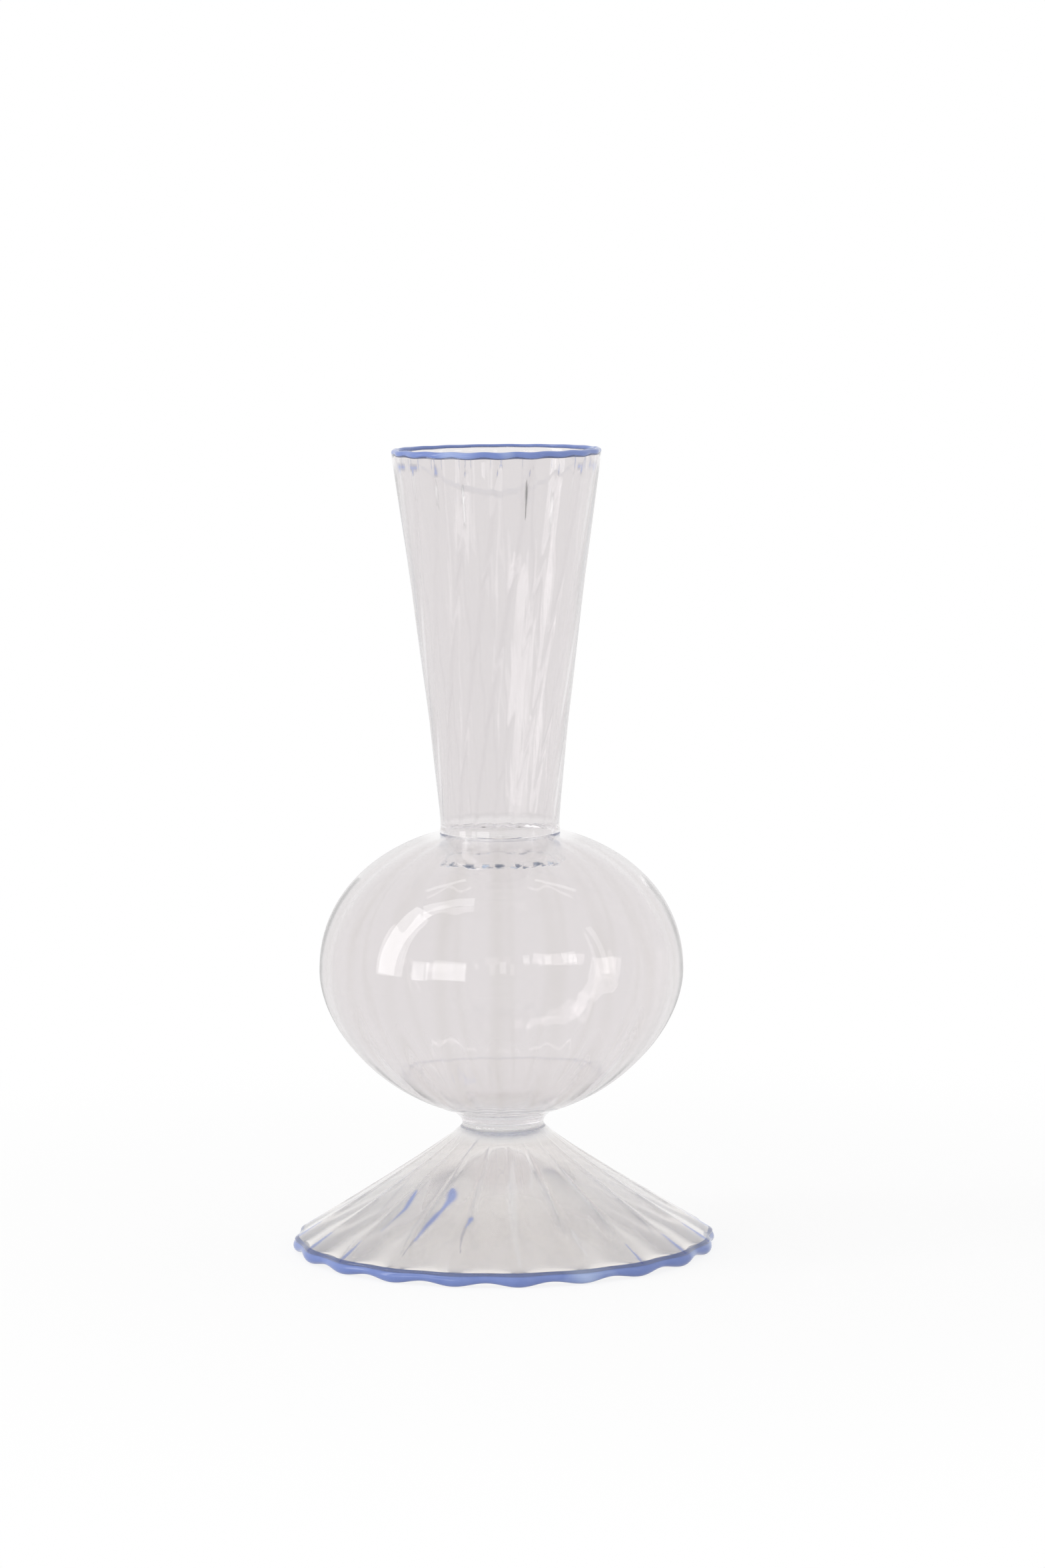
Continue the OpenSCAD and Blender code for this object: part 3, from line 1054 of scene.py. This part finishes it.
@dataclass
class Globe:
    """The blown globe, built as two halves from its widest ring to where each is cut.

    As shares of that way, the ribs die out over the last two fades and the edge's
    tint over the last limb_in, and the lower half's ribs rise until lower_ribs_in.
    The upper half's ribs have upper_rib_share of their height.
    """

    levels: Levels
    inset: float = 0.5
    base_r: float = 15.9
    lower_h: float = 44.2
    lower_round: float = 1.84
    top_r: float = 18.75
    upper_round: float = 2.12
    wall: float = 1.0
    floor_t: float = 2.4
    floor_round: float = 0.8
    rib: float = 0.5
    upper_rib_share: float = 0.2
    lower_ribs_in: float = 0.8
    bore_rib: float = 0.2
    bore_rib_from: float = 24.0
    bore_rib_over: float = 8.0
    fade: float = 0.08
    limb_in: float = 0.12
    ribs: RibRule = RibRule(first=-1.0, uneven=0.3, seed=5)
    sharpness: float = 1.8
    steps: int = 46
    bowl_steps: int = 28
    section_steps: int = 200
    joint_reach: float = 2.5
    joint_share: float = 0.4

    def __post_init__(self) -> None:
        """Works out the widest ring and the height of the upper half."""
        self.outer = self.levels.globe_r - self.inset
        self.middle = self.levels.globe_low + self.lower_h
        self.upper_h = self.levels.shoulder - self.middle

    def half(self, share: float, r: float, h: float, cut_r: float, fullness: float) -> tuple[float, float]:
        """Follows one half of a bulb from its widest ring to where it is cut.

        Args:
            share: The way along it, 0 at the widest ring and 1 at the cut.
            r: The widest radius.
            h: The height of the half.
            cut_r: The radius at the cut.
            fullness: 2 for an ellipse, more for a fuller shape.

        Returns:
            The radius, and the height from the widest ring.
        """
        last = math.acos((cut_r / r) ** (fullness / 2))
        angle = share * last
        radius = r * max(math.cos(angle), 0.0) ** (2 / fullness)
        return radius, h * (math.sin(angle) / math.sin(last)) ** (2 / fullness)

    def lower(self, share: float) -> tuple[float, float]:
        """Returns the radius and depth of the lower half at a share of the way down."""
        return self.half(share, self.outer, self.lower_h, self.base_r, self.lower_round)

    def fading(self, share: float) -> float:
        """Returns how much of the rib shows, from 1 at the middle to 0 at a cut."""
        return min(1.0, (1 - share) / (2 * self.fade))

    def outside(self) -> list[Ring]:
        """Lays the rings up the outside.

        Returns:
            The rings from the collar's joint to the neck's.
        """
        rings = [Ring(0.0, self.levels.globe_low, fused=True)]
        for k in range(-self.steps, self.steps + 1):
            share = abs(k) / self.steps
            if k <= 0:
                r, h = self.lower(share)
                z, rib = self.middle - h, self.rib * self.fading(share) * ease(share / self.lower_ribs_in)
            else:
                r, h = self.half(share, self.outer, self.upper_h, self.top_r, self.upper_round)
                z, rib = self.middle + h, self.upper_rib_share * self.rib * self.fading(share) * share
            rings.append(Ring(r, z, rib, sharpness=self.sharpness, stripe=self.fading(share),
                              limb=ease((1 - share) / self.limb_in), fused=share == 1))
        return rings

    def inside(self) -> list[Ring]:
        """Lays the rings down the inside.

        Returns:
            The rings from the neck's joint to the floor's middle.
        """
        opening_r = self.levels.opening_r
        rings = [Ring(opening_r, self.levels.shoulder, fused=True)]
        inner, top = self.outer - self.wall, self.upper_h - self.levels.shoulder_t
        for k in range(self.bowl_steps, 0, -1):
            share = k / self.bowl_steps
            r, h = self.half(share, inner, top, opening_r, self.upper_round)
            rib = -self.bore_rib * self.fading(share)
            rings.append(Ring(r, self.middle + h, rib, sharpness=self.sharpness, fused=share == 1))
        for r, z in self.bowl():
            rib = -self.bore_rib * ease((r - self.bore_rib_from) / self.bore_rib_over)
            rings.append(Ring(r, z, rib, sharpness=self.sharpness))
        rings.append(Ring(0.0, self.levels.globe_low + self.floor_t))
        return rings

    def bowl(self) -> list[tuple[float, float]]:
        """Follows the lower bowl, one wall inside the outside, into its rounded floor.

        Returns:
            The radii and heights.
        """
        line = [self.lower(k / self.section_steps) for k in range(self.section_steps + 1)]
        r, z = np.array([(r, self.middle - h) for r, h in line]).T
        across, down = np.gradient(r), np.gradient(z)
        length = np.hypot(across, down)
        inner_r, inner_z = r + self.wall * down / length, z - self.wall * across / length
        floor_z = self.levels.globe_low + self.floor_t
        points = []
        for k in range(self.bowl_steps):
            here = (self.outer - self.wall) * math.cos(math.pi / 2 * k / self.bowl_steps)
            rise = 0.0
            if here >= inner_r[-1]:
                over = (floor_z - float(np.interp(here, inner_r[::-1], inner_z[::-1]))) / self.floor_round
                rise = self.floor_round * math.log1p(math.exp(-over))
            points.append((here, floor_z + rise))
        return points

    def build(self, finishes: Finishes) -> None:
        """Builds and seats the globe.

        Args:
            finishes: The shared materials.
        """
        globe = Skin("globe_glass", self.outside() + self.inside(), closed=False)
        piece = globe.piece(self.ribs, finishes.bulb, finishes.joint)
        # Painted light: the joint with the neck is lifted towards untinted glass, so it shows lighter
        tint_and_painted_light(piece, [Band.about(self.levels.shoulder, self.joint_reach, GLINT, self.joint_share)])
        seat(piece, "globe")


@dataclass
class Seal:
    """The ring that seals the neck into the globe: a sleeve with a beaded lower edge.

    The edge's middle lies at middle_r. Its dashes are painted shade, or painted
    highlights for highlight_share of them. Stray is the most that one lies off its even
    place, as a share of the pitch, and scatter is what makes each differ.
    """

    levels: Levels
    middle_r: float = 18.7
    thickness: float = 1.5
    length: float = 9.6
    wave: float = 0.5
    bead_share: float = 1.35
    ribs: RibRule = RibRule(count=2 * RIB_COUNT, first=1.0, uneven=0.9, seed=11)
    steps: int = 14
    dash_count: int = 42
    dash_w: float = 0.4
    dash_rise: float = 0.15
    dash_lengths: tuple[float, float] = (4.0, 8.0)
    dash_tilts: tuple[float, float] = (-70.0, 20.0)
    dash_stray: float = 0.6
    dash_scatter: tuple[float, float, float] = (0.618, 0.37, 0.51)
    highlight_share: float = 0.3

    def __post_init__(self) -> None:
        """Works out the middle of the lower edge."""
        self.edge_r = self.thickness / 2
        self.edge_z = self.levels.shoulder - self.length + self.edge_r

    def rings(self) -> list[Ring]:
        """Lays the rings down the inside, round the lower edge and up the outside.

        Returns:
            The rings.
        """
        low, opening_r = self.levels.shoulder, self.levels.opening_r
        bore_r = self.levels.neck_r - self.levels.neck_wall
        rings = [Ring(bore_r, low, fused=True)]
        for k in range(1, self.steps):
            down = k / self.steps
            r = blend(bore_r, self.middle_r - self.edge_r, down ** 2)
            rings.append(Ring(r, blend(low, self.edge_z, down)))
        for k in range(self.steps + 1):
            angle = math.pi * (1 + k / self.steps * self.bead_share)
            under = max(0.0, -math.sin(angle))
            r = self.middle_r + self.edge_r * math.cos(angle)
            rings.append(Ring(r, self.edge_z + self.edge_r * math.sin(angle), drop=-self.wave * under))
        first, top = rings[-1], low - self.levels.shoulder_t
        for k in range(1, self.steps):
            up = k / self.steps
            rings.append(Ring(blend(opening_r, first.r, (1 - up) ** 3), blend(first.z, top, up)))
        return rings + [Ring(opening_r, top, fused=True), Ring(opening_r, low, fused=True)]

    def dashes(self) -> list[Mark]:
        """Lays the short dashes of painted shade and painted highlight round the lower edge.

        Returns:
            The dashes, which lie the same way each time.
        """
        marks = []
        for k in range(self.dash_count):
            stray, long, turn = [k * step % 1 for step in self.dash_scatter]
            angle = (k + self.dash_stray * stray) * 360 / self.dash_count
            end = angle + blend(*self.dash_lengths, long)
            tilt = math.radians(blend(*self.dash_tilts, turn))
            z = self.edge_z + self.edge_r * math.sin(tilt)
            for side in (-1, 1):
                r = self.middle_r + side * self.edge_r * math.cos(tilt)
                path = (around(angle, r, z), around(end, r, z + self.dash_rise))
                # Each dash is painted shade, or a painted highlight
                marks.append(Mark(path, self.dash_w, HIGHLIGHT_BLUE if stray > 1 - self.highlight_share else DASH_SHADE))
        return marks

    def build(self, finishes: Finishes) -> None:
        """Builds and seats the seal.

        Args:
            finishes: The shared materials.
        """
        skin = Skin("neck_seal_glass", self.rings(), closed=True)
        piece = skin.piece(self.ribs, finishes.seal, finishes.joint)
        tint_and_painted_light(piece, self.dashes())
        seat(piece, "neck_seal")


@dataclass
class Neck:
    """The flared neck, with ribs that turn on the way down.

    As shares of its length, the ribs are full from fade on, and the edge's tint
    comes in over limb_in at both ends. The marks under the lip are painted light,
    given by angles in degrees and heights: spots of the blue thread's painted
    reflection through the ribs, level patches of it with their half widths, painted
    glints, and one streak of painted shade.
    """

    levels: Levels
    flare_round: float = 1.17
    fillet: float = 0.45
    fillet_h: float = 1.3
    rise: float = 1.2
    rib: float = 0.16
    fade: float = 0.08
    limb_in: float = 0.05
    twist: float = 46.0
    twist_round: float = 1.4
    ribs: RibRule = RibRule(first=1.0, uneven=0.35, seed=7)
    sharpness: float = 3.0
    steps: int = 80
    rim_steps: int = 10
    bore_steps: int = 60
    joint_reach: float = 3.0
    joint_share: float = 0.5
    # The marks under the lip, all painted light: painted reflections of the blue thread, painted glints and
    # painted shade
    spot_top: float = 244.6
    spot_bottom: float = 243.0
    spot_w: float = 0.2
    spot_grow: float = 1.2
    long_spot: tuple[float, float] = (-125.0, 242.6)
    long_spot_w: float = 0.9
    patches: tuple[tuple[float, float, float, float], ...] = (
        (-160.0, -152.0, 244.9, 0.9),
        (-145.0, -140.0, 244.8, 0.9),
        (-39.0, -35.0, 245.1, 0.6),
        (-25.0, -18.0, 245.3, 0.6),
    )
    glints: tuple[tuple[float, float, float], ...] = (
        (-143.0, 243.0, 235.5),
        (-125.0, 240.2, 234.0),
        (-107.0, 239.5, 227.5),
        (-53.0, 236.0, 224.5),
        (38.0, 241.0, 232.0),
    )
    streak: tuple[float, float, float] = (-71.0, 240.7, 229.5)
    streak_w: float = 0.34

    def radius(self, up: float) -> float:
        """Returns the outer radius at a share of the neck's length."""
        return blend(self.levels.neck_r, self.levels.mouth_r, up ** self.flare_round)

    def turn(self, up: float) -> float:
        """Returns how far the ribs have turned at a share of the neck's length."""
        return -self.twist * (1 - up) ** self.twist_round

    def up(self, z: float) -> float:
        """Returns the share of the neck's length at a height."""
        return (z - self.levels.shoulder) / (self.levels.rim - self.levels.shoulder)

    def rings(self) -> list[Ring]:
        """Lays the rings up the outside, over the rounded rim and down the bore.

        Returns:
            The rings.
        """
        low, high = self.levels.shoulder, self.levels.rim
        rings = []
        for k in range(self.steps + 1):
            up = k / self.steps
            fillet = self.fillet * math.exp(-(high - low) * up / self.fillet_h)
            rings.append(Ring(
                self.radius(up) + fillet, blend(low, high, up),
                rib=self.rib * min(1.0, up / self.fade),
                turn=self.turn(up),
                sharpness=self.sharpness,
                stripe=1.0,
                limb=ease(up / self.limb_in) * ease((1 - up) / self.limb_in),
                fused=k == 0,
            ))
        for k in range(1, self.rim_steps):
            angle = math.pi * k / self.rim_steps
            r = self.levels.mouth_r - self.levels.neck_wall / 2 * (1 - math.cos(angle))
            rib = self.rib * max(0.0, math.cos(angle))
            rings.append(Ring(r, high + self.rise * math.sin(angle), rib, sharpness=self.sharpness))
        for k in range(self.bore_steps, -1, -1):
            up = k / self.bore_steps
            rings.append(Ring(self.radius(up) - self.levels.neck_wall, blend(low, high, up), fused=k == 0))
        return rings

    def mark(self, angle: float, top: float, bottom: float, width: float, colour: Colour,
             deep: float = 0.0) -> Mark:
        """Lays a mark down the neck along a rib.

        Args:
            angle: The rib's angle at the rim in degrees.
            top: The height of its upper end.
            bottom: The height of its lower end.
            width: Half of its width.
            colour: What it does to the light.
            deep: How far inside the outer face it lies.

        Returns:
            The mark.
        """
        turned = angle + self.turn((self.up(top) + self.up(bottom)) / 2)
        path = tuple(around(turned, self.radius(self.up(z)) - deep, z) for z in (top, bottom))
        return Mark(path, width, colour)

    def marks(self) -> list[Mark | Band]:
        """Lists the painted reflections, glints and shade where the ribs end under the lip, and the joint,
        lightened with painted light.

        Returns:
            The neck's marks.
        """
        marks = []
        for k in range(RIB_COUNT):
            angle = self.ribs.first + k * 360 / RIB_COUNT
            width = self.spot_w + self.spot_grow * abs(math.cos(math.radians(angle))) ** 3
            marks.append(self.mark(angle, self.spot_top, self.spot_bottom, width, LIP_REFLECTION))
        angle, bottom = self.long_spot
        marks.append(self.mark(angle, self.spot_top, bottom, self.long_spot_w, LIP_REFLECTION))
        for first, last, z, width in self.patches:
            r = self.radius(self.up(z))
            marks.append(Mark((around(first, r, z), around(last, r, z)), width, LIP_REFLECTION))
        for glint in self.glints:
            for deep in (0.0, self.levels.neck_wall):
                marks.append(self.mark(*glint, self.streak_w, GLINT, deep))
        marks.append(self.mark(*self.streak, self.streak_w, SHADE))
        # Painted light: the joint with the globe is lifted towards untinted glass, so it shows lighter
        return marks + [Band.about(self.levels.shoulder, self.joint_reach, GLINT, self.joint_share)]

    def build(self, finishes: Finishes) -> None:
        """Builds and seats the neck.

        Args:
            finishes: The shared materials.
        """
        neck = Skin("neck_glass", self.rings(), closed=True)
        piece = neck.piece(self.ribs, finishes.clear, finishes.joint)
        tint_and_painted_light(piece, self.marks())
        seat(piece, "neck")


@dataclass
class Lip:
    """The thin blue thread on the rim, thickest in front."""

    levels: Levels
    thread_d: float = 2.2
    back_share: float = 0.42
    taper_round: float = 1.5
    seat_in: float = 0.75
    top_z: float = 249.85
    rib: float = 0.45
    wave: float = 0.25
    ribs: RibRule = RibRule(first=2.0, uneven=0.4, seed=7)
    sides: int = 24

    def build(self, finishes: Finishes) -> None:
        """Builds and seats the lip thread.

        Args:
            finishes: The shared materials.
        """
        radius = self.thread_d / 2
        middle_r = self.levels.mouth_r - self.seat_in
        rings = []
        for k in range(self.sides):
            angle = math.tau * k / self.sides
            z = self.top_z - radius + radius * math.sin(angle)
            rings.append(Ring(middle_r + radius * math.cos(angle), z, self.rib, self.wave))
        thread = Skin("lip_thread", rings, closed=True)
        piece = thread.piece(self.ribs, finishes.blue, finishes.joint)
        self.taper(piece, middle_r * MM, self.top_z * MM)
        seat(piece, "lip_wrap")

    def taper(self, piece: bpy.types.Object, middle_r: float, top_z: float) -> None:
        """Draws the thread out thinner towards the back of the rim.

        Args:
            piece: The thread.
            middle_r: The radius of its centre line in metres.
            top_z: The height of its top in metres.
        """
        for vertex in piece.data.vertices:
            radius = math.hypot(vertex.co.x, vertex.co.y)
            behind = (1 + vertex.co.y / radius) / 2
            size = 1 - (1 - self.back_share) * behind ** self.taper_round
            grown = (middle_r + (radius - middle_r) * size) / radius
            z = top_z + (vertex.co.z - top_z) * size
            vertex.co = Vector((vertex.co.x * grown, vertex.co.y * grown, z))


@dataclass(frozen=True)
class Softbox:
    """A soft lamp, placed and sized by the angles in degrees at which the vase sees it."""

    name: str
    left: float
    up: float
    width: float
    height: float
    brightness: float
    tilt: float = 0.0
    distance: float = 1.2

    def build(self, aim: Vector) -> None:
        """Hangs the lamp.

        Args:
            aim: The point that it faces, in metres.
        """
        side, lift = math.radians(self.left), math.radians(self.up)
        away = Vector((-math.sin(side) * math.cos(lift), -math.cos(side) * math.cos(lift), math.sin(lift)))
        wide = 2 * self.distance * math.tan(math.radians(self.width) / 2)
        high = 2 * self.distance * math.tan(math.radians(self.height) / 2)
        lamp = bpy.data.lights.new(self.name, "AREA")
        lamp.shape = "RECTANGLE"
        lamp.size = wide
        lamp.size_y = high
        lamp.energy = self.brightness * math.pi * wide * high
        holder = bpy.data.objects.new(self.name, lamp)
        bpy.context.scene.collection.objects.link(holder)
        facing = (-away).to_track_quat("-Z", "Y").to_matrix().to_4x4()
        tilt = Matrix.Rotation(math.radians(self.tilt), 4, "Z")
        holder.matrix_world = Matrix.Translation(aim + away * self.distance) @ facing @ tilt


@dataclass
class Studio:
    """The white floor, the white surroundings and the lamps, in metres."""

    floor_size: float = 40.0
    floor_colour: Colour = (0.88, 0.88, 0.88)
    shade_near: float = 0.16
    shade_far: float = 0.4
    near_glow: float = 0.85
    white: Colour = (1.0, 1.0, 1.0)
    ambient: float = 0.85
    far_distance: float = 2.4
    aim: Vector = field(default_factory=lambda: Vector((0.0, 0.0, 0.1)))

    def seen(self, sketch: Sketch) -> bpy.types.NodeSocket:
        """Finds the rays that show the background.

        Args:
            sketch: The sketch on the material's or the world's tree.

        Returns:
            1 for rays from the camera, off gloss and through glass, 0 for others.
        """
        path = sketch.add("ShaderNodeLightPath").outputs
        gloss = sketch.math("MAXIMUM", path["Is Camera Ray"], path["Is Glossy Ray"])
        return sketch.math("MAXIMUM", gloss, path["Is Transmission Ray"])

    def world(self) -> None:
        """Makes the surroundings: plain white where they are seen, softer as light."""
        world = bpy.data.worlds.new("white_room")
        bpy.context.scene.world = world
        world.use_nodes = True
        sketch = Sketch(world.node_tree)
        lit = world.node_tree.nodes["Background"]
        sketch.fill(lit, {"Color": self.white, "Strength": self.ambient})
        shown = sketch.add("ShaderNodeBackground", {"Color": self.white, "Strength": 1.0})
        surface = sketch.mix_shaders(self.seen(sketch), lit.outputs[0], shown.outputs[0])
        sketch.fill(world.node_tree.nodes["World Output"], {"Surface": surface})

    def floor(self) -> None:
        """Lays the floor, which keeps the vase's shadow and is white further out."""
        half = self.floor_size / 2
        mesh = bpy.data.meshes.new("studio_floor")
        corners = [(-half, -half, 0), (half, -half, 0), (half, half, 0), (-half, half, 0)]
        mesh.from_pydata(corners, [], [(0, 1, 2, 3)])
        piece = bpy.data.objects.new("studio_floor", mesh)
        bpy.context.scene.collection.objects.link(piece)
        material, sketch, shader = start_material("white_floor")
        sketch.fill(shader, {"Base Color": self.floor_colour, "Roughness": 1.0, "Specular IOR Level": 0.0})
        away = sketch.add("ShaderNodeVectorMath", {0: sketch.place()}, operation="LENGTH").outputs["Value"]
        fade = sketch.ramp(away, self.shade_near, self.shade_far, low=self.near_glow, smooth=True)
        glow = sketch.add("ShaderNodeEmission", {"Color": self.white, "Strength": 1.0}).outputs[0]
        share = sketch.math("MULTIPLY", fade, self.seen(sketch))
        surface = sketch.mix_shaders(share, shader.outputs[0], glow)
        sketch.fill(material.node_tree.nodes["Material Output"], {"Surface": surface})
        mesh.materials.append(material)

    def lamps(self) -> None:
        """Hangs the softboxes whose shapes show in the glass."""
        far = self.far_distance
        for box in (
            Softbox("window_side", left=76, up=26, width=14, height=50, brightness=3.2),
            Softbox("window_arch", left=65, up=62, width=7, height=26, brightness=2.4, tilt=-39),
            Softbox("window_sill_a", left=52, up=7, width=11, height=14, brightness=2.3),
            Softbox("window_sill_b", left=33, up=9, width=21, height=15, brightness=2.6),
            Softbox("right_panel", left=-68, up=19, width=4, height=36, brightness=1.6),
            Softbox("ceiling_left", left=109, up=67, width=2.5, height=18, brightness=1.8, tilt=18),
            Softbox("ceiling_right", left=-107, up=67, width=2.5, height=18, brightness=1.8, tilt=-18),
            Softbox("far_pane_a", left=-1, up=13, width=4, height=10, brightness=1.8, distance=far),
            Softbox("far_pane_b", left=-16, up=20, width=4, height=7, brightness=1.8, distance=far),
            Softbox("far_pane_c", left=-30, up=18, width=4, height=7, brightness=1.8, distance=far),
            Softbox("far_pane_d", left=-45, up=18, width=9, height=9, brightness=1.9, distance=far),
        ):
            box.build(self.aim)

    def build(self) -> None:
        """Builds the studio."""
        self.world()
        self.floor()
        self.lamps()


@dataclass
class PhotoCamera:
    """The camera at the photograph's viewing angle, in metres, degrees and lens millimetres."""

    place: Point = (0.0, -1.5687, 0.3116)
    lens: float = 116.7
    sensor: float = 36.0
    down: float = 6.04
    yaw: float = -0.26
    roll: float = -0.55
    clip_start: float = 0.01

    def build(self) -> None:
        """Sets the camera."""
        camera = bpy.data.cameras.new("photo_camera")
        holder = bpy.data.objects.new("photo_camera", camera)
        bpy.context.scene.collection.objects.link(holder)
        camera.sensor_fit = "VERTICAL"
        camera.sensor_height = self.sensor
        camera.lens = self.lens
        camera.clip_start = self.clip_start
        turn = Matrix.Rotation(math.radians(self.yaw), 4, "Z")
        tilt = Matrix.Rotation(math.radians(90 - self.down), 4, "X")
        roll = Matrix.Rotation(math.radians(self.roll), 4, "Z")
        holder.matrix_world = Matrix.Translation(self.place) @ turn @ tilt @ roll
        bpy.context.scene.camera = holder


def light_paths() -> None:
    """Lets light that runs along inside the walls come out again before it is given up."""
    cycles = bpy.context.scene.cycles
    cycles.max_bounces = LIGHT_TURNS
    cycles.transmission_bounces = LIGHT_TURNS
    cycles.glossy_bounces = LIGHT_TURNS
    cycles.transparent_max_bounces = LIGHT_TURNS


def main() -> None:
    """Builds the vase's pieces in order, then the studio and the camera."""
    logging.basicConfig(level=logging.INFO, format="%(name)s: %(message)s")
    finishes = Finishes.make()
    levels = Levels.from_frame()
    for part in (Foot(levels), Collar(levels), Globe(levels), Neck(levels), Seal(levels), Lip(levels)):
        part.build(finishes)
    Studio().build()
    PhotoCamera().build()
    bpy.context.scene.view_settings.view_transform = "Standard"
    light_paths()


if __name__ == "__main__":
    main()
